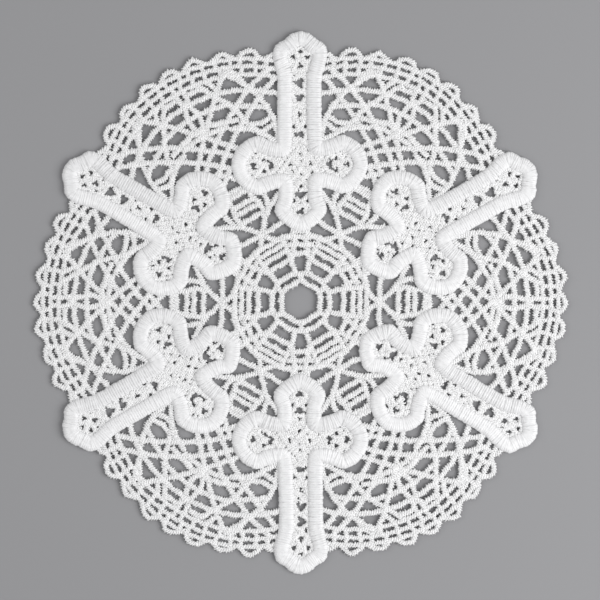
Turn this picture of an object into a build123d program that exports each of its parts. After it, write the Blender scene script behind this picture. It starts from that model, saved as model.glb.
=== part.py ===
from build123d import *
from math import atan2, degrees
import os

# Round doily of free-standing machine lace: six Latin crosses with raised satin borders stand
# on their heads round a hexagonal centre, and a mesh of whipped cords joins them.
# It lies flat on z = 0, centred on the origin, with the first cross along +Y.

# Driving dimensions, in mm
TIP_RADIUS = 65.0        # centre to the foot tip of every cross
SECTORS = 6              # crosses round the doily
CORD = 1.3               # width of a whipped mesh cord
RIM_CORD = 1.15          # width of the cords in the laddered rim
LACE_THICK = 0.8         # height of mesh, rim, picots and fillings
SATIN_WIDTH = 3.5        # width of the satin column round a cross
SATIN_THICK = 1.4        # height of the satin column
SATIN_COVER = 0.45       # thread over the underlay, on every side
SATIN_CROWN = 0.4        # rounding along the upper edges of the satin

# The lace pattern is drawn for a 65 mm tip radius, and grows and shrinks with the doily.
DRAWN_RADIUS = 65.0
PATTERN = TIP_RADIUS / DRAWN_RADIUS

# Rim of one sector, as arcs about a centre on the sector's middle line (+Y here)
RIM_CENTRE = 25.2
RIM_RADII = (36.6, 34.8, 32.8)
RIM_REACH = (41, 43, 45)                 # half angle of each arc, ending inside the two feet
OUTER_RUNGS = (2.9, 6.4, 12.3, 17.4, 23.0, 27.0, 32.6, 37.2)
INNER_RUNGS = (1.7, 7.0, 12.3, 18.6, 22.3, 27.5, 33.0, 37.7)
PICOTS = ((0, 1.7), (9.7, 1.8), (20.5, 1.4), (30.4, 2.0), (40.2, 1.6))   # angle and height
PICOT_SPAN = 4.1                         # half angle of a loop

# Long curved cords of the mesh: radius about the rim's centre, first and last angle
MESH_ARCS = (
    (31.4, 3, 9.5), (29.1, 0, 46), (26.0, 0, 22), (25.3, 22, 41),
    (22.1, 8, 25), (20.8, 0, 18), (20.2, 18, 30),
)
# Straight-run cords of the mesh in the right half of a sector, as corners (across, outwards)
MESH_ROUTES = (
    ((0, 34.9), (2.2, 36.7)),
    ((0, 37.6), (3.1, 40.2), (7.4, 42.9), (12.7, 45.8), (17.8, 48.2), (22.1, 49.7)),
    ((0, 41.8), (3.1, 44.2), (7.9, 47.2), (12.1, 49.3), (16.8, 51.2), (21.6, 52.3)),
    ((0, 45.8), (4.1, 50.0), (7.9, 53.8), (11.5, 56.6)),
    ((0, 34.9), (2.2, 32.9)),
    ((0, 37.6), (1.9, 36.0)),
    ((0, 41.9), (1.9, 40.4), (4.2, 37.9)),
    ((0, 45.8), (3.1, 42.4), (6.5, 38.6)),
    ((7.2, 43.9), (9.2, 42.9), (11.3, 41.3)),
    ((4.6, 57.3), (7.2, 52.8), (9.9, 47.8), (10.5, 44.6), (11.4, 41.3), (14.3, 36.8)),
    ((6.7, 57.3), (8.4, 54.0)),
    ((11.5, 57.2), (13.3, 54.1), (14.8, 51.4), (16.1, 48.3), (16.7, 44.6), (16.8, 41.3), (15.1, 36.0)),
    ((13.0, 56.7), (14.2, 54.4), (14.5, 51.9)),
    ((11.0, 42.9), (13.7, 41.7), (16.6, 41.9)),
    ((11.4, 41.3), (12.9, 39.7), (16.3, 40.3)),
    ((0, 55.0), (1.0, 53.3), (1.6, 50.1), (1.0, 48.5), (0, 47.2)),
    ((0, 45.8), (0, 47.6), (2.9, 47.6), (6.0, 46.5)),
    ((1.0, 58.3), (1.1, 55.1), (0, 55.0)),
)
# Ladder and star between the heads of two neighbouring crosses
HEAD_ROUTES = (
    ((0, 30.9), (3.0, 30.9)),
    ((0, 29.9), (3.0, 29.9)),
    ((0, 27.4), (3.0, 27.4)),
    ((0, 25.7), (3.4, 25.7)),
    ((0, 23.4), (3.1, 23.4)),
    ((0, 19.0), (3.1, 22.3), (3.5, 25.0), (3.0, 26.9), (2.6, 29.7)),
    ((3.1, 22.3), (4.7, 23.5), (5.2, 25.2), (5.5, 27.1)),
    ((4.7, 23.5), (7.5, 24.8)),
    ((0, 19.0), (1.9, 18.7), (4.8, 18.9), (6.6, 19.2)),
    ((0, 19.0), (1.2, 17.0), (2.3, 15.9), (3.8, 15.6)),
)
# Web round the centre, from the hexagonal ring out to the heads
RING_APOTHEM = 4.55
INNER_WEB_APOTHEM = 6.85                 # twelve-sided cord round the ring
SPOKE = (5.2, 6.6)                       # run of a spoke on each cross axis
WEB_ROUTES = (
    ((2.4, 6.8), (2.8, 8.4), (3.1, 10.1), (3.5, 12.4), (3.6, 14.1), (3.8, 15.6)),
    ((0, 10.15), (3.4, 10.15), (5.0, 12.0), (6.4, 13.8), (7.2, 15.1)),
    ((0, 12.4), (3.5, 12.4)),
    ((0, 14.1), (3.6, 14.1)),
    ((0, 15.7), (3.8, 15.6), (5.3, 15.2), (7.2, 14.9)),
)
# Bars of the web across the line of each cross, as half length and distance from the centre
CROSS_BARS = ((1.6, 11.8), (3.2, 13.9), (3.6, 15.7), (2.4, 17.2))

# Centre line of a cross's satin border, right half, from foot tip to head tip
BORDER_LINE = (
    (2.2, 61.8), (4.0, 60.5), (3.6, 58.3), (3.5, 56.4),
    (3.5, 36.5), (6.2, 36.7), (8.2, 37.3), (10.1, 38.1), (12.2, 36.1),
    (14.3, 32.9),
    (12.2, 29.7), (10.1, 27.7), (8.2, 28.5), (6.2, 29.1), (3.5, 29.3),
    (3.5, 24.7), (4.3, 22.1), (2.4, 20.0),
)
HEAD_TIP = 18.6
# Eyelets in the filling, right half: across, outwards, width and height
EYELETS = (
    (0, 60.2, 0.9, 0.9), (1.7, 58.8, 1.0, 0.9), (0, 56.7, 1.0, 1.4), (0, 52.6, 2.1, 2.1),
    (0, 49.0, 2.2, 1.6), (0, 44.9, 0.8, 1.0), (1.4, 42.0, 0.6, 0.9), (0, 40.1, 2.3, 1.1),
    (0, 35.5, 0.6, 0.6), (2.4, 33.1, 0.5, 0.9), (7.0, 32.9, 1.0, 2.1), (8.6, 34.3, 1.0, 0.8),
    (8.6, 31.5, 1.0, 0.8), (11.2, 32.9, 1.6, 1.8), (0, 30.7, 0.8, 0.4), (0, 27.8, 1.0, 0.4),
    (0, 25.9, 2.6, 1.2), (1.7, 24.5, 0.7, 0.9), (0, 21.9, 1.7, 1.2),
)


def spot(across, outwards):
    """Place of a pattern point on the doily."""
    return Vector(across, outwards) * PATTERN


def rim_spot(radius, angle):
    """Place of a pattern point given about the centre of a sector's rim."""
    return spot(0, RIM_CENTRE) + (spot(0, radius)).rotate(Axis.Z, -angle)


def lay_run(start, end, width):
    """Flat cord with round ends between two places."""
    run = end - start
    with Locations((start + end) / 2):
        SlotCenterToCenter(run.length, width, rotation=degrees(atan2(run.Y, run.X)))


def lay_routes(routes, width):
    """Cords along every route, corner to corner."""
    for route in routes:
        corners = [spot(*corner) for corner in route]
        for start, end in zip(corners, corners[1:]):
            lay_run(start, end, width)


def lay_arc(radius, first, last, width):
    """Cord along an arc about the rim's centre, between two angles from the sector's middle line."""
    with BuildLine(mode=Mode.PRIVATE) as path:
        ThreePointArc(
            rim_spot(radius, first), rim_spot(radius, (first + last) / 2), rim_spot(radius, last)
        )
    SlotArc(path.edge(), width)


# Footprint of one cross: the centre line of its border, its outer outline and its open channel
with BuildSketch() as cross_core:
    with BuildLine():
        half = [spot(*corner) for corner in BORDER_LINE]
        foot_tip = Vector(0, TIP_RADIUS - SATIN_WIDTH / 2)
        Polyline(foot_tip, *half, spot(0, HEAD_TIP))
        mirror(about=Plane.YZ)
    make_face()

with BuildSketch() as cross_outline:
    add(cross_core.sketch)
    offset(amount=SATIN_WIDTH / 2)

with BuildSketch() as cross_channel:
    add(cross_core.sketch)
    offset(amount=-SATIN_WIDTH / 2)

# All the crosses, seen from a sector whose middle line is +Y
with BuildSketch() as all_crosses:
    with PolarLocations(0, SECTORS, start_angle=180 / SECTORS):
        add(cross_outline.sketch)

# Rim of a sector: three arcs with rungs between them, from foot to foot
with BuildSketch() as rim_flat:
    for radius, reach in zip(RIM_RADII, RIM_REACH):
        lay_arc(radius, -reach, reach, RIM_CORD)
    for outer, inner, rungs in zip(RIM_RADII, RIM_RADII[1:], (OUTER_RUNGS, INNER_RUNGS)):
        for angle in rungs:
            for side in (-angle, angle):
                lay_run(rim_spot(outer, side), rim_spot(inner, side), RIM_CORD)
    add(all_crosses.sketch, mode=Mode.SUBTRACT)

# Picots: a row of loops on the rim's outermost arc
with BuildSketch() as picots_flat:
    for angle, height in PICOTS:
        for middle in {-angle, angle}:
            with BuildLine(mode=Mode.PRIVATE) as loop:
                ThreePointArc(
                    rim_spot(RIM_RADII[0], middle - PICOT_SPAN),
                    rim_spot(RIM_RADII[0] + height, middle),
                    rim_spot(RIM_RADII[0], middle + PICOT_SPAN),
                )
            SlotArc(loop.edge(), CORD)
    with Locations(spot(0, RIM_CENTRE)):
        Circle(RIM_RADII[0] * PATTERN + RIM_CORD / 2, mode=Mode.SUBTRACT)
    add(all_crosses.sketch, mode=Mode.SUBTRACT)

# Mesh ground of a sector, stopped by the rim and the two crosses
with BuildSketch() as ground_flat:
    for radius, first, last in MESH_ARCS:
        lay_arc(radius, first, last, CORD)
    lay_routes(MESH_ROUTES, CORD)
    mirror(about=Plane.YZ)
    with Locations(spot(0, RIM_CENTRE)):
        Circle(RIM_RADII[-1] * PATTERN - RIM_CORD / 2, mode=Mode.INTERSECT)
    add(all_crosses.sketch, mode=Mode.SUBTRACT)

# Hexagonal ring round the open centre, with its flats facing the sectors
with BuildSketch() as ring_flat:
    ring = RING_APOTHEM * PATTERN
    RegularPolygon(ring + CORD / 2, SECTORS, major_radius=False, rotation=180 / SECTORS)
    RegularPolygon(
        ring - CORD / 2, SECTORS, major_radius=False, rotation=180 / SECTORS, mode=Mode.SUBTRACT
    )

# Web between the ring and the heads, all the way round
with BuildSketch() as web_sector:
    lay_routes(WEB_ROUTES, CORD)
    mirror(about=Plane.YZ)

with BuildSketch() as web_bars:
    lay_routes([((-half_bar, out), (half_bar, out)) for half_bar, out in CROSS_BARS], CORD)
    lay_run(spot(0, SPOKE[0]), spot(0, SPOKE[1]), CORD)

with BuildSketch() as web_flat:
    inner_web = INNER_WEB_APOTHEM * PATTERN
    for apothem, mode in ((inner_web + CORD / 2, Mode.ADD), (inner_web - CORD / 2, Mode.SUBTRACT)):
        RegularPolygon(apothem, 2 * SECTORS, major_radius=False, rotation=90 / SECTORS, mode=mode)
    with PolarLocations(0, SECTORS):
        add(web_sector.sketch)
    with PolarLocations(0, SECTORS, start_angle=180 / SECTORS):
        add(web_bars.sketch)
        add(cross_outline.sketch, mode=Mode.SUBTRACT)
    RegularPolygon(
        ring + CORD / 2, SECTORS, major_radius=False, rotation=180 / SECTORS, mode=Mode.SUBTRACT
    )

# Ladder and star between two heads
with BuildSketch() as head_flat:
    lay_routes(HEAD_ROUTES, CORD)
    mirror(about=Plane.YZ)
    add(web_flat.sketch, mode=Mode.SUBTRACT)
    add(all_crosses.sketch, mode=Mode.SUBTRACT)

# Net that fills a cross's channel
with BuildSketch() as filling_flat:
    add(cross_channel.sketch)
    for across, outwards, width, height in EYELETS:
        for side in {-across, across}:
            with Locations(spot(side, outwards)):
                Ellipse(width * PATTERN / 2, height * PATTERN / 2, mode=Mode.SUBTRACT)

# Underlay strip, which the satin column covers on every side
underlay_half_width = SATIN_WIDTH / 2 - SATIN_COVER
with BuildSketch() as underlay_flat:
    add(cross_core.sketch)
    offset(amount=underlay_half_width)
    with BuildSketch(mode=Mode.PRIVATE) as underlay_inside:
        add(cross_core.sketch)
        offset(amount=-underlay_half_width)
    add(underlay_inside.sketch, mode=Mode.SUBTRACT)

with BuildPart() as underlay:
    with BuildSketch(Plane.XY.offset(SATIN_COVER)):
        add(underlay_flat.sketch)
    extrude(amount=SATIN_THICK - 2 * SATIN_COVER)

with BuildPart() as border:
    with BuildSketch():
        add(cross_outline.sketch)
        add(cross_channel.sketch, mode=Mode.SUBTRACT)
    extrude(amount=SATIN_THICK)
    fillet(border.edges().group_by(Axis.Z)[-1], SATIN_CROWN)
    add(underlay.part, mode=Mode.SUBTRACT)

os.makedirs("parts", exist_ok=True)

# The centre ring and the web are one piece each
for name, flat in (("centre_ring", ring_flat), ("centre_web", web_flat)):
    with BuildPart() as piece:
        with BuildSketch(Plane.XY.rotated((0, 0, -180 / SECTORS))):
            add(flat.sketch)
        extrude(amount=LACE_THICK)
    piece.part.label = name
    export_step(piece.part, f"parts/{name}.step")

# Pieces repeated round the doily, numbered clockwise: crosses from +Y, sectors from cross 1 on
for number in range(SECTORS):
    cross_turn = -360 / SECTORS * number
    sector_turn = cross_turn - 180 / SECTORS
    for name, flat, turn in (
        ("head_web", head_flat, sector_turn),
        ("ground", ground_flat, sector_turn),
        ("rim", rim_flat, sector_turn),
        ("picots", picots_flat, sector_turn),
        ("cross_filling", filling_flat, cross_turn),
    ):
        with BuildPart() as piece:
            with BuildSketch(Plane.XY.rotated((0, 0, turn))):
                add(flat.sketch)
            extrude(amount=LACE_THICK)
        piece.part.label = f"{name}_{number + 1}"
        export_step(piece.part, f"parts/{name}_{number + 1}.step")
    for name, whole in (("cross_border", border), ("cross_underlay", underlay)):
        with BuildPart() as piece:
            with Locations(Location((0, 0, 0), (0, 0, cross_turn))):
                add(whole.part)
        piece.part.label = f"{name}_{number + 1}"
        export_step(piece.part, f"parts/{name}_{number + 1}.step")
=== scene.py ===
"""Round doily of free-standing machine lace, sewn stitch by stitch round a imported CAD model."""

import bpy
import numpy as np
from bpy.props import FloatProperty, FloatVectorProperty, PointerProperty
from bpy.types import Operator, Panel, PropertyGroup
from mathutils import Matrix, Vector


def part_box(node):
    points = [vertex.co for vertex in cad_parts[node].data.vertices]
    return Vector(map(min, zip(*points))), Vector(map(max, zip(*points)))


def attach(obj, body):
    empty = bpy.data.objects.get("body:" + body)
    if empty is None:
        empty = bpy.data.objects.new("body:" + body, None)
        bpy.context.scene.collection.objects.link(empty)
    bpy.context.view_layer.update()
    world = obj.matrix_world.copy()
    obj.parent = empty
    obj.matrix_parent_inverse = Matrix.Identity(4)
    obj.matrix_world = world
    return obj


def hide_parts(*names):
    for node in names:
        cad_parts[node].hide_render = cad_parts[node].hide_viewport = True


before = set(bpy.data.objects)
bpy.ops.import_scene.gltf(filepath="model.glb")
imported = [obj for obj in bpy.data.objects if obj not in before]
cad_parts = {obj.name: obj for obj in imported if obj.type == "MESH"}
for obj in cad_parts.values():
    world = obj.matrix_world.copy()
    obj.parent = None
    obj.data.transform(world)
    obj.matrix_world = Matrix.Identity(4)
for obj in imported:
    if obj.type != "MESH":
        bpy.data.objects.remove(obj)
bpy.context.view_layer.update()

bl_info = {
    "name": "Lace Doily",
    "version": (1, 0, 0),
    "blender": (4, 5, 0),
    "location": "View3D > Sidebar > Lace",
    "description": "Sews a round lace doily with six crosses, thread by thread",
    "category": "Add Mesh",
}

SECTORS = 6
SECTOR_TURN = 2 * np.pi / SECTORS
DRAWN_RADIUS = 65.0                                   # the pattern is drawn in mm for this radius
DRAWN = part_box("cross_border_1")[1][1] / DRAWN_RADIUS     # metres for each drawn mm
LACE_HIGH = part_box("ground_1")[1][2]                  # height of mesh, rim and fillings
SATIN_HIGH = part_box("cross_border_1")[1][2]           # height of a cross's satin border
MM = 0.001

# Rim of a sector: arcs about a centre on the sector's middle line, with rungs and picots, by angle
RIM_CENTRE = 25.2
RIM_RADII = (36.6, 34.8, 32.8)
RIM_REACH = (41, 43, 45)
OUTER_RUNGS = (2.9, 6.4, 12.3, 17.4, 23.0, 27.0, 32.6, 37.2)
INNER_RUNGS = (1.7, 7.0, 12.3, 18.6, 22.3, 27.5, 33.0, 37.7)
PICOTS = ((0, 1.7), (9.7, 1.8), (20.5, 1.4), (30.4, 2.0), (40.2, 1.6))
PICOT_SPAN = 4.1

# Long curved cords of the mesh: radius about the rim's centre, first and last angle
MESH_ARCS = (
    (31.4, 3, 9.5), (29.1, 0, 46), (26.0, 0, 22), (25.3, 22, 41),
    (22.1, 8, 25), (20.8, 0, 18), (20.2, 18, 30),
)
# Cords of the mesh in the right half of a sector, as corners (across, outwards)
MESH_ROUTES = (
    ((0, 34.9), (2.2, 36.7)),
    ((0, 37.6), (3.1, 40.2), (7.4, 42.9), (12.7, 45.8), (17.8, 48.2), (22.1, 49.7)),
    ((0, 41.8), (3.1, 44.2), (7.9, 47.2), (12.1, 49.3), (16.8, 51.2), (21.6, 52.3)),
    ((0, 45.8), (4.1, 50.0), (7.9, 53.8), (11.5, 56.6)),
    ((0, 34.9), (2.2, 32.9)),
    ((0, 37.6), (1.9, 36.0)),
    ((0, 41.9), (1.9, 40.4), (4.2, 37.9)),
    ((0, 45.8), (3.1, 42.4), (6.5, 38.6)),
    ((7.2, 43.9), (9.2, 42.9), (11.3, 41.3)),
    ((4.6, 57.3), (7.2, 52.8), (9.9, 47.8), (10.5, 44.6), (11.4, 41.3), (14.8, 35.9)),
    ((6.7, 57.3), (8.4, 54.0)),
    ((11.5, 57.2), (13.3, 54.1), (14.8, 51.4), (16.1, 48.3), (16.7, 44.6), (16.8, 41.3), (15.1, 36.0)),
    ((13.0, 56.7), (14.2, 54.4), (14.5, 51.9)),
    ((11.0, 42.9), (13.7, 41.7), (16.6, 41.9)),
    ((11.4, 41.3), (12.9, 39.7), (16.3, 40.3)),
    ((0, 55.0), (1.0, 53.3), (1.6, 50.1), (1.0, 48.5), (0, 47.2)),
    ((0, 45.8), (0, 47.6), (2.9, 47.6), (6.0, 46.5)),
    ((1.0, 58.3), (1.1, 55.1), (0, 55.0)),
)
# Star between two heads, and the rungs of its ladder as half length and distance from the centre
HEAD_ROUTES = (
    ((0, 19.0), (3.1, 22.3), (3.5, 25.0), (3.0, 26.9), (2.6, 29.7)),
    ((3.1, 22.3), (4.7, 23.5), (5.2, 25.2), (5.5, 27.1)),
    ((4.7, 23.5), (8.8, 25.4)),
    ((0, 19.0), (1.9, 18.7), (4.8, 18.9), (6.6, 19.2)),
    ((0, 19.0), (1.2, 17.0), (2.3, 15.9), (3.8, 15.6)),
)
HEAD_BARS = ((3.0, 30.9), (3.0, 29.9), (3.0, 27.4), (3.4, 25.7), (3.1, 23.4))
# Web round the centre
RING_APOTHEM = 4.55
INNER_WEB_APOTHEM = 6.85
SPOKE = ((0, 5.2), (0, 6.6))
WEB_ROUTES = (
    ((2.4, 6.8), (2.8, 8.4), (3.1, 10.1), (3.5, 12.4), (3.6, 14.1), (3.8, 15.6)),
    ((3.4, 10.15), (5.0, 12.0), (6.4, 13.8), (7.2, 15.1)),
    ((3.8, 15.7), (5.3, 15.2), (7.2, 14.9)),
)
WEB_BARS = ((3.5, 10.15), (3.6, 12.4), (3.7, 14.1), (3.9, 15.7))
CROSS_BARS = ((1.6, 11.8), (3.2, 13.9), (3.6, 15.7), (2.4, 17.2))

# Centre line of a cross's satin border, right half, from foot tip to head tip
BORDER_LINE = (
    (0, 63.3), (1.6, 62.8), (2.7, 61.6), (4.7, 60.6), (4.8, 58.6), (4.1, 56.2), (3.5, 54.0),
    (3.5, 36.5), (6.2, 36.7), (8.2, 37.3), (10.1, 38.3), (12.4, 37.2), (14.0, 35.2),
    (14.7, 32.9),
    (14.0, 30.6), (12.4, 28.6), (10.1, 27.5), (8.2, 28.5), (6.2, 29.1), (3.5, 29.3),
    (3.5, 24.7), (4.8, 22.2), (2.5, 19.9), (0, 18.6),
)
SEAM = (-4.2, 58.2)      # where the satin of the first cross starts and ends
# Eyelets in the filling, right half: across, outwards, width and height
EYELETS = (
    (0, 60.2, 0.9, 0.9), (1.7, 58.8, 1.0, 0.9), (0, 56.7, 1.0, 1.4), (0, 52.6, 2.1, 2.1),
    (0, 49.0, 2.2, 1.6), (0, 44.9, 0.8, 1.0), (1.4, 42.0, 0.6, 0.9), (0, 40.1, 2.3, 1.1),
    (0, 35.5, 0.6, 0.6), (2.4, 33.1, 0.5, 0.9), (7.0, 32.9, 1.0, 2.1), (8.6, 34.3, 1.0, 0.8),
    (8.6, 31.5, 1.0, 0.8), (11.2, 32.9, 1.2, 1.4), (0, 30.7, 0.8, 0.4), (0, 27.8, 1.0, 0.4),
    (0, 25.9, 2.6, 1.2), (1.7, 24.5, 0.7, 0.9), (0, 21.9, 1.7, 1.2),
)

# How smooth the threads are
ZIGZAG_SAMPLES = 8       # points of a whipping thread in each full zigzag
SATIN_SAMPLES = 12       # points of a satin stitch, once over and under the border
SATIN_SIDES = 5
CORE_SIDES = 6
CORE_SKIP = 3            # a cord's core has one ring of corners for every third point
PADDING_SIDES = 12
# The whipping threads of a cord: 1 above or -1 below, phase, sides, and the points from ring to ring
WHIPPING = ((1, 0, 4, 1), (1, np.pi, 4, 1), (-1, 0, 3, 2), (-1, np.pi, 3, 2))

# How the lace and its threads lie: values times MM are in metres
DRIFT = 0.16 * MM        # sideways pull of the lace
LIFT = 0.09 * MM         # size of its undulation
LIFT_BASE = 2.7          # middle of the undulation, in lifts, so that no thread is below the floor
UNEVEN_STEP = 0.07 * MM  # a zigzag point's unevenness along the cord
TUCK = 0.9               # how far a cord runs on under a satin border, in drawn mm
NET_TUCK = 0.4           # the same for a net cord in a filling
CORNER_FAN = 14          # reach of the fan round a border's corners, in fine steps
FINE_STEP = 0.05         # step along a border's centre line, in drawn mm
PADDING_STEP = 0.6       # step along the padding strip, in mm
SEAM_NEAR = 5            # stitches this close to the seam, in drawn mm, belong to it
SEAM_LEAN = 0.25         # slope of the stitches at the seam
SEAM_REACH = 3 * MM      # distance over which the lean dies away
SEAM_GAP = 0.15 * MM     # half of the gap at the seam

# Net of a filling, in drawn mm: two families of cords that slope to the left and to the right
NET_SPACING = 1.0
NET_SLOPE = np.radians(50)
NET_MIDDLE = (0, 41.0)   # place on the cross that both families are counted from
NET_LINES = 21           # cords of a family on each side of that place
NET_REACH = 24.0         # half length of a cord before the channel cuts it


class LaceThreadSettings(PropertyGroup):
    """Widths and spacings of the threads and cords."""

    cord_width: FloatProperty(
        name="Cord Width", description="Width of a whipped mesh cord",
        default=1.76 * MM, min=0.4 * MM, unit="LENGTH",
    )
    rim_width: FloatProperty(
        name="Rim Cord Width", description="Width of the cords in the laddered rim",
        default=1.50 * MM, min=0.4 * MM, unit="LENGTH",
    )
    picot_width: FloatProperty(
        name="Picot Width", description="Width of the cord round a picot",
        default=1.56 * MM, min=0.4 * MM, unit="LENGTH",
    )
    net_width: FloatProperty(
        name="Net Cord Width", description="Width of the cords in a cross's filling",
        default=1.22 * MM, min=0.3 * MM, unit="LENGTH",
    )
    zigzag: FloatProperty(
        name="Zigzag Length", description="Length of cord that one full zigzag covers",
        default=1.22 * MM, min=0.2 * MM, unit="LENGTH",
    )
    thread: FloatProperty(
        name="Thread Radius", description="Radius of the whipping thread",
        default=0.19 * MM, min=0.05 * MM, unit="LENGTH",
    )
    satin_width: FloatProperty(
        name="Satin Width", description="Width of a satin border",
        default=3.7 * MM, min=1 * MM, unit="LENGTH",
    )
    satin_pitch: FloatProperty(
        name="Satin Pitch", description="Distance between two satin stitches along the border",
        default=0.60 * MM, min=0.2 * MM, unit="LENGTH",
    )
    satin_wide: FloatProperty(
        name="Satin Stitch Half Width", description="Half the width of a flattened satin stitch",
        default=0.44 * MM, min=0.05 * MM, unit="LENGTH",
    )
    satin_high: FloatProperty(
        name="Satin Stitch Half Height", description="Half the height of a flattened satin stitch",
        default=0.15 * MM, min=0.05 * MM, unit="LENGTH",
    )


class LaceColourSettings(PropertyGroup):
    """Colours of the threads. The cord thread is painted whiter than the satin, though both are one
    white thread: painted light that lifts the cords out of their own shade.
    """

    satin: FloatVectorProperty(
        name="Satin Thread", description="Colour of the satin borders", subtype="COLOR",
        default=(0.87, 0.87, 0.88), min=0, max=1,
    )
    # painted light: whiter than the satin thread, to make up for the shade between the cords' stitches
    cord: FloatVectorProperty(
        name="Cord Thread", description="Colour of the mesh, web and rim", subtype="COLOR",
        default=(0.95, 0.95, 0.955), min=0, max=1,
    )
    underlay: FloatVectorProperty(
        name="Underlay Thread", description="Colour of the padding inside the satin",
        subtype="COLOR", default=(0.86, 0.86, 0.87), min=0, max=1,
    )


class LaceStageSettings(PropertyGroup):
    """Floor, lamps and camera."""

    floor: FloatVectorProperty(
        name="Floor", description="Colour of the floor", subtype="COLOR",
        default=(0.30, 0.30, 0.31), min=0, max=1,
    )
    key_power: FloatProperty(
        name="Key Lamp", description="Power of the large soft lamp on the right", default=2.8,
        min=0, unit="POWER",
    )
    fill_power: FloatProperty(
        name="Fill Lamp", description="Power of the soft lamp on the left", default=1.0,
        min=0, unit="POWER",
    )
    sky: FloatProperty(
        name="Sky", description="Strength of the even light from all sides", default=0.42, min=0,
    )
    camera_high: FloatProperty(
        name="Camera Height", description="Height of the camera over the floor", default=0.40,
        min=0.1, unit="LENGTH",
    )


def turned(points, angle):
    """Points turned clockwise about the centre: (x cos a + y sin a, y cos a - x sin a)."""
    cos, sin = np.cos(angle), np.sin(angle)
    x, y = points[..., 0], points[..., 1]
    return np.stack([x * cos + y * sin, y * cos - x * sin], -1)


def mirrored(route):
    """The same route on the other side of the sector's middle line: x becomes -x."""
    return np.asarray(route, float) * (-1, 1)


def both_sides(routes):
    """Every route and its mirror image."""
    return [np.asarray(route, float) for route in routes] + [mirrored(route) for route in routes]


def bars(pairs):
    """Straight rungs across a middle line, from -half to +half at their distance out."""
    return [np.array([(-half, out), (half, out)], float) for half, out in pairs]


def polygon(apothem, sides):
    """Closed regular polygon with a corner on +Y: corner k at apothem / cos(pi / n), 2 pi k / n."""
    angle = 2 * np.pi / sides * np.arange(sides + 1)
    return apothem / np.cos(np.pi / sides) * np.stack([np.sin(angle), np.cos(angle)], 1)


def rim_arc(radius, first, last, rise=0.0):
    """Arc about the rim's centre: (r sin a, c + r cos a), with r risen by rise times a half sine."""
    share = np.linspace(0, 1, 25)
    angle = np.radians(first + (last - first) * share)
    reach = radius + rise * np.sin(np.pi * share)
    return np.stack([reach * np.sin(angle), RIM_CENTRE + reach * np.cos(angle)], 1)


def rim_rungs(outer, inner, angles):
    """Short runs between two rim arcs, on both sides of the middle line."""
    runs = [np.concatenate([rim_arc(outer, a, a)[:1], rim_arc(inner, a, a)[:1]]) for a in angles]
    return both_sides(runs)


def eased(route, closed=False, cut=0.2, rounds=3):
    """Corner cutting: each run is replaced by its points at cut and 1 - cut, and open ends stay."""
    for _ in range(rounds):
        after = np.roll(route, -1, 0) if closed else route[1:]
        before = route if closed else route[:-1]
        pair = np.stack([before + cut * (after - before), after - cut * (after - before)], 1)
        pair = pair.reshape(-1, 2)
        route = pair if closed else np.concatenate([route[:1], pair[1:-1], route[-1:]])
    return route


def walked(route, step, closed=False):
    """Places at an even step along a route, with the unit heading at each and the distance gone."""
    if closed:
        route = np.concatenate([route, route[:1]])
    gone = np.concatenate([[0], np.cumsum(np.linalg.norm(np.diff(route, axis=0), axis=1))])
    count = max(3, int(round(gone[-1] / step)) + 1)
    along = np.linspace(0, gone[-1], count)
    if closed:
        along = along[:-1]
    place = np.stack([np.interp(along, gone, route[:, axis]) for axis in (0, 1)], 1)
    if closed:
        heading = np.roll(place, -1, 0) - np.roll(place, 1, 0)
    else:
        heading = np.gradient(place, axis=0)
    heading /= np.linalg.norm(heading, axis=1, keepdims=True)
    return place, heading, along


def sideways(heading):
    """Unit direction to the left of each heading: (-y, x)."""
    return np.stack([-heading[..., 1], heading[..., 0]], -1)


def inside(points, outline):
    """True for points inside a closed outline, by counting its crossings of a line to the right."""
    x, y = points[:, None, 0], points[:, None, 1]
    start, end = outline, np.roll(outline, -1, 0)
    spans = (start[:, 1] > y) != (end[:, 1] > y)
    rise = np.where(end[:, 1] == start[:, 1], 1e-12, end[:, 1] - start[:, 1])
    meets = start[:, 0] + (y - start[:, 1]) * (end[:, 0] - start[:, 0]) / rise
    return (spans & (x < meets)).sum(1) % 2 == 1


def distance_to(points, line):
    """Distance of each point from the nearest of a line's points."""
    return np.linalg.norm(points[:, None] - line[None], axis=2).min(1)


def border_route():
    """Centre line of a border, clockwise from the foot tip: the right half, then its mirror image."""
    half = np.array(BORDER_LINE, float)
    return eased(np.concatenate([half, mirrored(half)[-2:0:-1]]), closed=True, cut=0.16)


BORDER_POINTS = walked(border_route(), 0.25, closed=True)[0]     # every quarter of a drawn mm


def clear_of_crosses(points):
    """True for points outside the crosses, or less than the tuck in from a border's outer edge."""
    keep = np.ones(len(points), bool)
    half_width = bpy.context.scene.lace_thread.satin_width / 2 / DRAWN
    for turn in (-SECTOR_TURN / 2, SECTOR_TURN / 2):
        line = turned(BORDER_POINTS, turn)
        keep &= ~inside(points, line) & (distance_to(points, line) > half_width - TUCK)
    return keep


def runs_of(keep):
    """Slices of the stretches where keep is true, three points or longer."""
    edges = np.flatnonzero(np.diff(np.concatenate([[False], keep, [False]]).astype(int)))
    return [slice(a, b) for a, b in zip(edges[::2], edges[1::2]) if b - a >= 3]


def settled(points):
    """The lie of the lace: points drift sideways and lift off the floor by slow sums of sines.

    Each coordinate gains DRIFT (sin a + 0.6 sin b), and the height gains LIFT times a base plus
    sin c sin d + sin e, where a to e are the place across the doily over lengths of 6 to 14 mm.
    """
    x, y = points[..., 0] / DRAWN, points[..., 1] / DRAWN
    out = points.copy()
    out[..., 0] += DRIFT * (np.sin(y / 11 + 0.6) + 0.6 * np.sin((x - y) / 6.3))
    out[..., 1] += DRIFT * (np.sin(x / 12 - 0.4) + 0.6 * np.sin((x + y) / 7.1 + 1.7))
    lift = LIFT_BASE + np.sin(x / 9.5 + 0.8) * np.sin(y / 8.7) + np.sin((x + 0.7 * y) / 14 + 2.0)
    out[..., 2] += LIFT * lift
    return out


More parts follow.
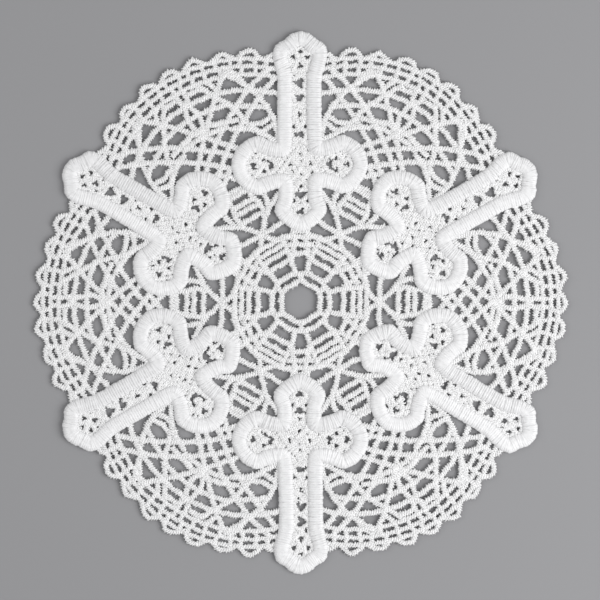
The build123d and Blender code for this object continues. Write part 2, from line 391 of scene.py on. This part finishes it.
class Pile:
    """Tubes gathered for one piece: their places, faces and thread coordinates."""

    def __init__(self):
        self.places, self.quads, self.caps, self.maps = [], [], [], []
        self.count = 0

    def tubes(self, line, reference, wide, high, sides, closed=False):
        """Tubes round lines of points. Ring point j is line + wide cos(a_j) A + high sin(a_j) B.

        line and reference have the shape (tubes, points, 3). A is the reference made square to the
        line, B is square to both, and a_j goes once round in equal steps.
        """
        if closed:
            run = np.roll(line, -1, 1) - np.roll(line, 1, 1)
        else:
            run = np.gradient(line, axis=1)
        run /= np.linalg.norm(run, axis=2, keepdims=True)
        first = reference - (reference * run).sum(2, keepdims=True) * run
        first /= np.linalg.norm(first, axis=2, keepdims=True)
        second = np.cross(run, first)
        angle = 2 * np.pi * np.arange(sides) / sides
        ring = line[:, :, None] + wide * np.cos(angle)[:, None] * first[:, :, None]
        ring = ring + high * np.sin(angle)[:, None] * second[:, :, None]
        many, points = line.shape[:2]
        index = self.count + np.arange(many * points * sides).reshape(many, points, sides)
        near = index if closed else index[:, :-1]
        far = np.roll(index, -1, 1) if closed else index[:, 1:]
        quads = np.stack([near, np.roll(near, -1, 2), np.roll(far, -1, 2), far], -1)
        step = np.linalg.norm(np.diff(line, axis=1), axis=2)
        gone = np.concatenate([np.zeros((many, 1)), np.cumsum(step, 1)], 1)
        ahead = np.concatenate([gone[:, 1:], gone[:, -1:] + step[:, -1:]], 1)
        if not closed:
            gone, ahead = gone[:, :-1], ahead[:, :-1]
        round_now = np.broadcast_to(np.arange(sides) / sides, quads.shape[:3])
        along = np.broadcast_to(gone[..., None] / MM, quads.shape[:3])
        along_next = np.broadcast_to(ahead[..., None] / MM, quads.shape[:3])
        u = np.stack([along, along, along_next, along_next], -1)
        v = np.stack([round_now, round_now + 1 / sides, round_now + 1 / sides, round_now], -1)
        self.places.append(ring.reshape(-1, 3))
        self.quads.append(quads.reshape(-1, 4))
        self.maps.append(np.stack([u, v], -1).reshape(-1, 2))
        if not closed:
            self.caps += [index[:, 0, ::-1], index[:, -1]]
        self.count += ring.size // 3

    def piece(self, name, node, slot, material):
        """Makes the gathered tubes one mesh that rides on the doily and stands for a CAD node."""
        places = settled(np.concatenate(self.places))
        quads = np.concatenate(self.quads)
        loops = [quads.ravel()] + [cap.ravel() for cap in self.caps]
        sizes = [np.full(len(quads), 4)] + [np.full(len(cap), cap.shape[1]) for cap in self.caps]
        corners, sizes = np.concatenate(loops), np.concatenate(sizes)
        coordinates = np.zeros((len(corners), 2))
        coordinates[: quads.size] = np.concatenate(self.maps)
        mesh = bpy.data.meshes.new(name)
        mesh.vertices.add(len(places))
        mesh.vertices.foreach_set("co", places.astype(np.float32).ravel())
        mesh.loops.add(len(corners))
        mesh.loops.foreach_set("vertex_index", corners.astype(np.int32))
        mesh.polygons.add(len(sizes))
        starts = np.concatenate([[0], np.cumsum(sizes)[:-1]])
        mesh.polygons.foreach_set("loop_start", starts.astype(np.int32))
        mesh.update(calc_edges=True)
        mesh.shade_smooth()
        thread_map = mesh.uv_layers.new(name="Thread")
        thread_map.uv.foreach_set("vector", coordinates.astype(np.float32).ravel())
        mesh.materials.append(material)
        made = bpy.data.objects.new(name, mesh)
        bpy.context.scene.collection.objects.link(made)
        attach(made, "root")
        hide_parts(node)
        return made


def in_space(flat, high):
    """Flat points as points in space at the given height or heights."""
    return np.concatenate([flat, np.broadcast_to(high, flat.shape[:1])[:, None]], 1)


def whip(pile, place, heading, width, draw):
    """One whipped cord along evenly spaced places, in metres.

    A flat core runs along the cord. Two threads zigzag over it, half a zigzag apart, and two
    coarser ones under it. A thread goes A sin(phase) |sin(phase)|^0.6 to the side, and up or down by
    H sqrt(1 - (0.9 sin(phase))^2) + D cos(phase), so that one passes over the other and then
    under it. A and the core's width swell and shrink along the cord as 1 plus two small sines,
    and each point of a thread has a little unevenness drawn for it.
    """
    thread = bpy.context.scene.lace_thread.thread
    left = sideways(heading)
    count = len(place)
    middle = LACE_HIGH / 2 + draw.uniform(0.02, 0.14) * MM
    swing = width / 2 - 0.8 * thread
    climb = LACE_HIGH / 2 - 1.4 * thread
    along = bpy.context.scene.lace_thread.zigzag / ZIGZAG_SAMPLES * np.arange(count)
    first, second = draw.uniform(0, 2 * np.pi, 2)
    slow, quick = np.sin(along / (0.45 * MM) + first), np.sin(along / (0.21 * MM) + second)
    swell = 1 + 0.09 * slow + 0.06 * quick
    start = 2 * np.pi / ZIGZAG_SAMPLES * draw.integers(ZIGZAG_SAMPLES)
    for side, offset, sides, skip in WHIPPING:
        phase = start + offset + 2 * np.pi / ZIGZAG_SAMPLES * np.arange(0, count, skip)
        uneven = draw.standard_normal((3, len(phase))).clip(-2, 2)
        wave = np.sin(phase) * np.abs(np.sin(phase)) ** 0.6
        across = swing * swell[::skip] * wave * (1 + 0.13 * uneven[0])
        arch = climb * np.sqrt(1 - (0.9 * np.sin(phase)) ** 2) * (1 + 0.25 * uneven[1])
        high = middle + side * (arch + 0.45 * thread * np.cos(phase))
        flat = place[::skip] + left[::skip] * across[:, None]
        flat = flat + heading[::skip] * (UNEVEN_STEP * uneven[2])[:, None]
        forward = in_space(heading[::skip], 0)[None]
        pile.tubes(in_space(flat, high)[None], forward, thread, thread, sides)
    core = slice(None, None, CORE_SKIP if count > ZIGZAG_SAMPLES else 1)
    pile.tubes(in_space(place, middle)[None, core], in_space(left, 0)[None, core],
               0.7 * swing * swell[core, None, None], climb - 0.1 * thread, CORE_SIDES)


def sew_cords(pile, routes, width, turn, draw, keep=None, ease=0.2):
    """Whips a cord along each route, where keep allows it, and turns it into place.

    The route wanders to the side by two small sines of the distance along it.
    """
    step = bpy.context.scene.lace_thread.zigzag / ZIGZAG_SAMPLES / DRAWN
    for route in routes:
        place, heading, along = walked(eased(np.asarray(route, float), cut=ease), step)
        first, second = draw.uniform(0, 2 * np.pi, 2)
        wander = 0.09 * np.sin(along / 0.52 + first) + 0.06 * np.sin(along / 0.27 + second)
        place = place + sideways(heading) * wander[:, None]
        mask = np.ones(len(place), bool) if keep is None else keep(place)
        for run in runs_of(mask):
            whip(pile, turned(place[run], turn) * DRAWN, turned(heading[run], turn), width, draw)


def sew_sectors(piece, replaced, slot, seed, routes, width, keep=None):
    """One piece of whipped cord for each sector, each with its own random unevenness."""
    for number in range(SECTORS):
        pile, draw = Pile(), np.random.default_rng(seed + number)
        sew_cords(pile, routes, width, SECTOR_TURN * (number + 0.5), draw, keep=keep)
        pile.piece(f"{piece}_{number + 1}", f"{replaced}_{number + 1}", slot, cord_material())


def node(tree, kind, **values):
    """Adds a shader node and sets its named properties."""
    made = tree.nodes.new(kind)
    for name, value in values.items():
        setattr(made, name, value)
    return made


def thread_material(name, colour, twist, rough, sheen):
    """Twisted white thread: plies as a sine along and round the thread, fibres as fine noise."""
    material = bpy.data.materials.get(name)
    if material is not None:
        return material
    material = bpy.data.materials.new(name)
    material.use_nodes = True
    tree = material.node_tree
    shader = tree.nodes["Principled BSDF"]
    shader.inputs["Specular IOR Level"].default_value = 0.35
    shader.inputs["Sheen Weight"].default_value = sheen
    shader.inputs["Sheen Roughness"].default_value = 0.45
    link = tree.links.new

    place = node(tree, "ShaderNodeTexCoord")
    cloud = node(tree, "ShaderNodeTexNoise")
    cloud.inputs["Scale"].default_value = 900.0
    cloud.inputs["Detail"].default_value = 3.0
    link(place.outputs["Object"], cloud.inputs["Vector"])
    shades = node(tree, "ShaderNodeValToRGB")
    shades.color_ramp.elements[0].position = 0.3
    shades.color_ramp.elements[1].position = 0.7
    shades.color_ramp.elements[0].color = (*[0.90 * part for part in colour], 1)
    shades.color_ramp.elements[1].color = (*colour, 1)
    link(cloud.outputs["Fac"], shades.inputs["Fac"])
    link(shades.outputs["Color"], shader.inputs["Base Color"])
    gloss = node(tree, "ShaderNodeMapRange")
    gloss.inputs["To Min"].default_value = rough - 0.08
    gloss.inputs["To Max"].default_value = rough + 0.08
    link(cloud.outputs["Fac"], gloss.inputs["Value"])
    link(gloss.outputs["Result"], shader.inputs["Roughness"])

    thread_map = node(tree, "ShaderNodeUVMap", uv_map="Thread")
    split = node(tree, "ShaderNodeSeparateXYZ")
    link(thread_map.outputs["UV"], split.inputs["Vector"])
    along = node(tree, "ShaderNodeMath", operation="MULTIPLY")
    along.inputs[1].default_value = 2 * np.pi / twist
    link(split.outputs["X"], along.inputs[0])
    phase = node(tree, "ShaderNodeMath", operation="MULTIPLY_ADD")
    phase.inputs[1].default_value = 2 * np.pi * 2
    link(split.outputs["Y"], phase.inputs[0])
    link(along.outputs["Value"], phase.inputs[2])
    plies = node(tree, "ShaderNodeMath", operation="SINE")
    link(phase.outputs["Value"], plies.inputs[0])
    twisted = node(tree, "ShaderNodeBump")
    twisted.inputs["Strength"].default_value = 0.5
    twisted.inputs["Distance"].default_value = 0.03 * MM
    link(plies.outputs["Value"], twisted.inputs["Height"])
    fibre = node(tree, "ShaderNodeTexNoise")
    fibre.inputs["Scale"].default_value = 9000.0
    link(place.outputs["Object"], fibre.inputs["Vector"])
    frayed = node(tree, "ShaderNodeBump")
    frayed.inputs["Strength"].default_value = 0.35
    frayed.inputs["Distance"].default_value = 0.02 * MM
    link(fibre.outputs["Fac"], frayed.inputs["Height"])
    link(twisted.outputs["Normal"], frayed.inputs["Normal"])
    link(frayed.outputs["Normal"], shader.inputs["Normal"])
    return material


def satin_material():
    """Smooth glossy thread of the satin borders."""
    return thread_material("satin_floss", bpy.context.scene.lace_colour.satin, 1.4, 0.42, 0.25)


def cord_material():
    """Twisted thread of the mesh, web, rim and picots, its colour painted whiter than the satin's to
    offset the shade among the cords.
    """
    return thread_material("cord_floss", bpy.context.scene.lace_colour.cord, 0.8, 0.5, 0.3)


def underlay_material():
    """Dull padding thread."""
    return thread_material("underlay_floss", bpy.context.scene.lace_colour.underlay, 0.8, 0.6, 0.2)


class LACE_OT_centre_ring(Operator):
    """Sew the hexagonal ring round the open centre"""

    bl_idname = "lace.centre_ring"
    bl_label = "Centre Ring"
    bl_options = {"REGISTER", "UNDO"}

    def execute(self, context):
        thread = context.scene.lace_thread
        pile, draw = Pile(), np.random.default_rng(11)
        sew_cords(pile, [polygon(RING_APOTHEM, SECTORS)], thread.cord_width, 0, draw, ease=0.12)
        pile.piece("centre_ring_cord", "centre_ring", "mesh_thread", cord_material())
        return {"FINISHED"}


class LACE_OT_centre_web(Operator):
    """Sew the web of bars and spokes between the ring and the heads of the crosses"""

    bl_idname = "lace.centre_web"
    bl_label = "Centre Web"
    bl_options = {"REGISTER", "UNDO"}

    def execute(self, context):
        thread = context.scene.lace_thread
        pile, draw = Pile(), np.random.default_rng(12)
        inner = polygon(INNER_WEB_APOTHEM, 2 * SECTORS)
        sew_cords(pile, [inner], thread.cord_width, SECTOR_TURN / 4, draw)
        for number in range(SECTORS):
            middle = SECTOR_TURN * (number + 0.5)
            sector = both_sides(WEB_ROUTES) + bars(WEB_BARS)
            sew_cords(pile, sector, thread.cord_width, middle, draw)
            axis = bars(CROSS_BARS) + [SPOKE]
            sew_cords(pile, axis, thread.cord_width, SECTOR_TURN * number, draw)
        pile.piece("centre_web_cords", "centre_web", "mesh_thread", cord_material())
        return {"FINISHED"}


class LACE_OT_head_webs(Operator):
    """Sew the ladder and star between the heads of neighbouring crosses"""

    bl_idname = "lace.head_webs"
    bl_label = "Head Webs"
    bl_options = {"REGISTER", "UNDO"}

    def execute(self, context):
        thread = context.scene.lace_thread
        routes = both_sides(HEAD_ROUTES) + bars(HEAD_BARS)
        sew_sectors("head_web_cords", "head_web", "mesh_thread", 20, routes, thread.cord_width,
                    clear_of_crosses)
        return {"FINISHED"}


class LACE_OT_grounds(Operator):
    """Sew the mesh ground of every sector"""

    bl_idname = "lace.grounds"
    bl_label = "Mesh Grounds"
    bl_options = {"REGISTER", "UNDO"}

    def execute(self, context):
        thread = context.scene.lace_thread
        routes = both_sides(MESH_ROUTES)
        for radius, first, last in MESH_ARCS:
            if first == 0:
                routes.append(rim_arc(radius, -last, last))
            else:
                routes += both_sides([rim_arc(radius, first, last)])
        sew_sectors("ground_cords", "ground", "mesh_thread", 30, routes, thread.cord_width,
                    clear_of_crosses)
        return {"FINISHED"}


class LACE_OT_rims(Operator):
    """Sew the laddered rim of every sector"""

    bl_idname = "lace.rims"
    bl_label = "Rims"
    bl_options = {"REGISTER", "UNDO"}

    def execute(self, context):
        thread = context.scene.lace_thread
        routes = [rim_arc(radius, -reach, reach) for radius, reach in zip(RIM_RADII, RIM_REACH)]
        routes += rim_rungs(RIM_RADII[0], RIM_RADII[1], OUTER_RUNGS)
        routes += rim_rungs(RIM_RADII[1], RIM_RADII[2], INNER_RUNGS)
        sew_sectors("rim_cords", "rim", "rim_thread", 40, routes, thread.rim_width,
                    clear_of_crosses)
        return {"FINISHED"}


class LACE_OT_picots(Operator):
    """Sew the picots on every sector's rim"""

    bl_idname = "lace.picots"
    bl_label = "Picots"
    bl_options = {"REGISTER", "UNDO"}

    def execute(self, context):
        thread = context.scene.lace_thread
        loops = []
        for angle, high in PICOTS:
            for middle in sorted({-angle, angle}):
                loops.append(rim_arc(RIM_RADII[0], middle - PICOT_SPAN, middle + PICOT_SPAN, high))
        sew_sectors("picot_loops", "picots", "rim_thread", 50, loops, thread.picot_width)
        return {"FINISHED"}


def fanned(heading, reach):
    """Headings on a closed path, averaged with a bell curve so that stitches fan round corners."""
    offset = np.arange(-3 * reach, 3 * reach + 1)
    weight = np.exp(-0.5 * (offset / reach) ** 2)
    total = sum(w * np.roll(heading, int(o), 0) for o, w in zip(offset, weight))
    return total / np.linalg.norm(total, axis=1, keepdims=True)


def satin_stations(thread):
    """Places and headings of the satin stitches round a cross.

    The step is even in the length of the border's outer edge: ds + (W / 2) |turn|.
    """
    fine, heading, _ = walked(border_route(), FINE_STEP, closed=True)
    heading = fanned(heading, CORNER_FAN)
    after = np.roll(heading, -1, 0)
    turning = np.abs(heading[:, 0] * after[:, 1] - heading[:, 1] * after[:, 0])
    length = np.linalg.norm(np.roll(fine, -1, 0) - fine, axis=1)
    gone = np.cumsum(length + 0.5 * thread.satin_width / DRAWN * turning)
    count = int(round(gone[-1] * DRAWN / thread.satin_pitch))
    pick = np.searchsorted(gone, np.arange(count) / count * gone[-1])
    return fine[pick], heading[pick]


def bent(share, power):
    """Signed power, which squares up a circle: sign(x) |x|^(2 / power)."""
    return np.sign(share) * np.abs(share) ** (2 / power)


class LACE_OT_satin_borders(Operator):
    """Sew the raised satin border of every cross"""

    bl_idname = "lace.satin_borders"
    bl_label = "Satin Borders"
    bl_options = {"REGISTER", "UNDO"}

    def execute(self, context):
        thread = context.scene.lace_thread
        place, heading = satin_stations(thread)
        for number in range(SECTORS):
            pile, draw = Pile(), np.random.default_rng(60 + number)
            turn = SECTOR_TURN * number
            gone = self.past_seam(place, heading) if number == 0 else np.full(len(place), np.inf)
            self.satin(pile, turned(place, turn) * DRAWN, turned(heading, turn), gone, thread, draw)
            pile.piece(f"satin_border_{number + 1}", f"cross_border_{number + 1}", "satin_thread",
                       satin_material())
        return {"FINISHED"}

    def past_seam(self, place, heading):
        """Signed distance of each stitch past the seam, in metres, and infinity away from it."""
        off = place - SEAM
        near = np.linalg.norm(off, axis=1) < SEAM_NEAR
        return np.where(near, (off * heading).sum(1) * DRAWN, np.inf)

    def satin(self, pile, place, heading, past, thread, draw):
        """One closed stitch at each place, once over and under the border.

        Its points are W bent(cos t) to the side and H bent(sin t) up, for t once round. Near a
        seam they slip along the border by the lean times exp(-(past / reach)^2), and on either
        side of it by the gap times exp(-|past| / 1 mm), which parts them.
        """
        count = len(place)
        left = sideways(heading)
        t = 2 * np.pi * np.arange(SATIN_SAMPLES) / SATIN_SAMPLES
        half_wide = thread.satin_width / 2 - thread.satin_high
        half_high = SATIN_HIGH / 2 - thread.satin_high
        wide = half_wide * (1 + 0.03 * draw.standard_normal((count, 1)).clip(-2, 2))
        tall = half_high * (1 + 0.045 * draw.standard_normal((count, 1)).clip(-2, 1))
        across = wide * bent(np.cos(t), 2.3)
        high = SATIN_HIGH / 2 + np.where(np.sin(t) > 0, tall, half_high) * bent(np.sin(t), 2.6)
        lean = np.where(np.arange(count) % 2, 1, -1)[:, None] * 0.08 * thread.satin_pitch
        slip = lean * across / half_wide + 0.02 * MM * draw.standard_normal((count, 1))
        flat = place[:, None] + left[:, None] * across[..., None]
        slip = slip - SEAM_LEAN * across * np.exp(-((past / SEAM_REACH) ** 2))[:, None]
        slip = slip + (SEAM_GAP * np.sign(past) * np.exp(-np.abs(past) / MM))[:, None]
        flat = flat + heading[:, None] * slip[..., None]
        line = np.concatenate([flat, high[..., None]], 2)
        forward = np.concatenate([heading, np.zeros((count, 1))], 1)[:, None]
        pile.tubes(line, np.broadcast_to(forward, line.shape), thread.satin_wide,
                   thread.satin_high, SATIN_SIDES, closed=True)


class LACE_OT_underlays(Operator):
    """Sew the padding strip inside every satin border"""

    bl_idname = "lace.underlays"
    bl_label = "Underlays"
    bl_options = {"REGISTER", "UNDO"}

    def execute(self, context):
        thread = context.scene.lace_thread
        place, heading, _ = walked(border_route(), PADDING_STEP / DRAWN * MM, closed=True)
        heading = fanned(heading, 2)
        wide = thread.satin_width / 2 - 1.3 * thread.satin_high
        high = SATIN_HIGH / 2 - 1.3 * thread.satin_high
        for number in range(SECTORS):
            pile, turn = Pile(), SECTOR_TURN * number
            line = in_space(turned(place, turn) * DRAWN, SATIN_HIGH / 2)[None]
            left = in_space(sideways(turned(heading, turn)), 0)[None]
            pile.tubes(line, left, wide, high, PADDING_SIDES, closed=True)
            pile.piece(f"underlay_strip_{number + 1}", f"cross_underlay_{number + 1}",
                       "underlay_thread", underlay_material())
        return {"FINISHED"}


class LACE_OT_fillings(Operator):
    """Sew the net with eyelets that fills every cross"""

    bl_idname = "lace.fillings"
    bl_label = "Fillings"
    bl_options = {"REGISTER", "UNDO"}

    def execute(self, context):
        thread = context.scene.lace_thread
        half_satin = thread.satin_width / 2 / DRAWN
        half_net = thread.net_width / 2 / DRAWN
        holes = np.array(EYELETS + tuple((-x, y, w, h) for x, y, w, h in EYELETS if x), float)
        for number in range(SECTORS):
            pile, draw = Pile(), np.random.default_rng(70 + number)
            waves = draw.uniform(0, 2 * np.pi, (2, len(holes)))
            routes = self.lattice(draw)
            routes += [self.eyelet(hole, wave, half_net) for hole, wave in zip(holes, waves.T)]

            def keep(points):
                """Inside the channel, with a little under the satin, and out of the eyelets."""
                off = points[:, None] - holes[:, :2]
                angle = np.arctan2(off[..., 0], off[..., 1])
                away = np.linalg.norm(off / (holes[:, 2:] / 2 + 0.6 * half_net), axis=2)
                open_net = (away >= self.ragged(angle, waves)).all(1)
                under = distance_to(points, BORDER_POINTS) > half_satin - NET_TUCK
                return open_net & under & inside(points, BORDER_POINTS)

            sew_cords(pile, routes, thread.net_width, SECTOR_TURN * number, draw, keep=keep)
            pile.piece(f"filling_net_{number + 1}", f"cross_filling_{number + 1}",
                       "filling_thread", cord_material())
        return {"FINISHED"}

    def ragged(self, angle, waves):
        """Reach of an eyelet's edge: 1 + 0.2 sin(3 angle + first wave) + 0.12 sin(5 angle + second)."""
        return 1 + 0.2 * np.sin(3 * angle + waves[0]) + 0.12 * np.sin(5 * angle + waves[1])

    def lattice(self, draw):
        """Two families of nearly straight cords: middle + offset across, and reach ahead both ways.

        Each cord's offset and slope have a little unevenness drawn for them.
        """
        offsets = np.arange(-NET_LINES, NET_LINES + 1) * NET_SPACING
        lines = []
        for hand in (-1, 1):
            across = np.array([-np.sin(NET_SLOPE), hand * np.cos(NET_SLOPE)])
            for offset in offsets + 0.10 * draw.standard_normal(len(offsets)):
                lean = NET_SLOPE + 0.03 * draw.standard_normal()
                ahead = np.array([hand * np.cos(lean), np.sin(lean)])
                middle = NET_MIDDLE + offset * across
                lines.append(np.array([middle - NET_REACH * ahead, middle + NET_REACH * ahead]))
        return lines

    def eyelet(self, hole, wave, gap):
        """Closed ring of cord round an eyelet: an ellipse with a ragged edge."""
        angle = np.linspace(0, 2 * np.pi, 25)
        reach = (hole[2:] / 2 + gap) * self.ragged(angle, wave)[:, None]
        return hole[:2] + reach * np.stack([np.sin(angle), np.cos(angle)], 1)


class LACE_OT_stage(Operator):
    """Set up the floor, the lamps and the camera"""

    bl_idname = "lace.stage"
    bl_label = "Stage"
    bl_options = {"REGISTER", "UNDO"}

    def execute(self, context):
        scene, stage = context.scene, context.scene.lace_stage
        scene.view_settings.view_transform = "Standard"
        self.floor(stage)
        self.lamp("key_lamp", (0.42, -0.12, 0.40), 0.40, stage.key_power)
        self.lamp("fill_lamp", (-0.42, 0.15, 0.45), 0.6, stage.fill_power)
        world = bpy.data.worlds.new("studio")
        world.use_nodes = True
        world.node_tree.nodes["Background"].inputs["Color"].default_value = (1, 1, 1, 1)
        world.node_tree.nodes["Background"].inputs["Strength"].default_value = stage.sky
        scene.world = world
        lens = bpy.data.cameras.new("camera")
        lens.lens = 100
        lens.clip_start = 0.01
        camera = bpy.data.objects.new("camera", lens)
        camera.location = (-0.07 * MM, 0.5 * MM, stage.camera_high)
        scene.collection.objects.link(camera)
        scene.camera = camera
        return {"FINISHED"}

    def floor(self, stage):
        """One flat square on z = 0."""
        reach = 1.5
        mesh = bpy.data.meshes.new("floor")
        corners = [(-reach, -reach, 0), (reach, -reach, 0), (reach, reach, 0), (-reach, reach, 0)]
        mesh.from_pydata(corners, [], [(0, 1, 2, 3)])
        material = bpy.data.materials.new("pale_floor")
        material.use_nodes = True
        shader = material.node_tree.nodes["Principled BSDF"]
        shader.inputs["Base Color"].default_value = (*stage.floor, 1)
        shader.inputs["Roughness"].default_value = 0.9
        mesh.materials.append(material)
        floor = bpy.data.objects.new("floor", mesh)
        bpy.context.scene.collection.objects.link(floor)

    def lamp(self, name, place, size, power):
        """Square area lamp turned towards the doily."""
        light = bpy.data.lights.new(name, "AREA")
        light.size = size
        light.energy = power
        lamp = bpy.data.objects.new(name, light)
        lamp.location = place
        lamp.rotation_euler = (-Vector(place)).to_track_quat("-Z", "Y").to_euler()
        bpy.context.scene.collection.objects.link(lamp)


SEWING = (
    LACE_OT_centre_ring, LACE_OT_centre_web, LACE_OT_head_webs, LACE_OT_grounds, LACE_OT_rims,
    LACE_OT_picots, LACE_OT_underlays, LACE_OT_satin_borders, LACE_OT_fillings,
)


class VIEW3D_PT_lace_doily(Panel):
    """Sizes, colours and sewing steps of the doily"""

    bl_label = "Lace Doily"
    bl_idname = "VIEW3D_PT_lace_doily"
    bl_space_type = "VIEW_3D"
    bl_region_type = "UI"
    bl_category = "Lace"

    def draw(self, context):
        for settings in (context.scene.lace_thread, context.scene.lace_colour,
                         context.scene.lace_stage):
            box = self.layout.box()
            for name in settings.__annotations__:
                box.prop(settings, name)
        for step in (*SEWING, LACE_OT_stage):
            self.layout.operator(step.bl_idname)


CLASSES = (
    LaceThreadSettings, LaceColourSettings, LaceStageSettings, *SEWING, LACE_OT_stage,
    VIEW3D_PT_lace_doily,
)


def register():
    """Adds the classes, and the settings to every scene."""
    for part in CLASSES:
        bpy.utils.register_class(part)
    bpy.types.Scene.lace_thread = PointerProperty(type=LaceThreadSettings)
    bpy.types.Scene.lace_colour = PointerProperty(type=LaceColourSettings)
    bpy.types.Scene.lace_stage = PointerProperty(type=LaceStageSettings)


def unregister():
    """Takes the settings and the classes away again."""
    del bpy.types.Scene.lace_stage
    del bpy.types.Scene.lace_colour
    del bpy.types.Scene.lace_thread
    for part in reversed(CLASSES):
        bpy.utils.unregister_class(part)


def main():
    """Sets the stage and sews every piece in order."""
    register()
    bpy.ops.lace.stage()
    for step in SEWING:
        getattr(bpy.ops.lace, step.bl_idname.split(".")[1])()
    bpy.context.view_layer.update()


if __name__ == "__main__":
    main()
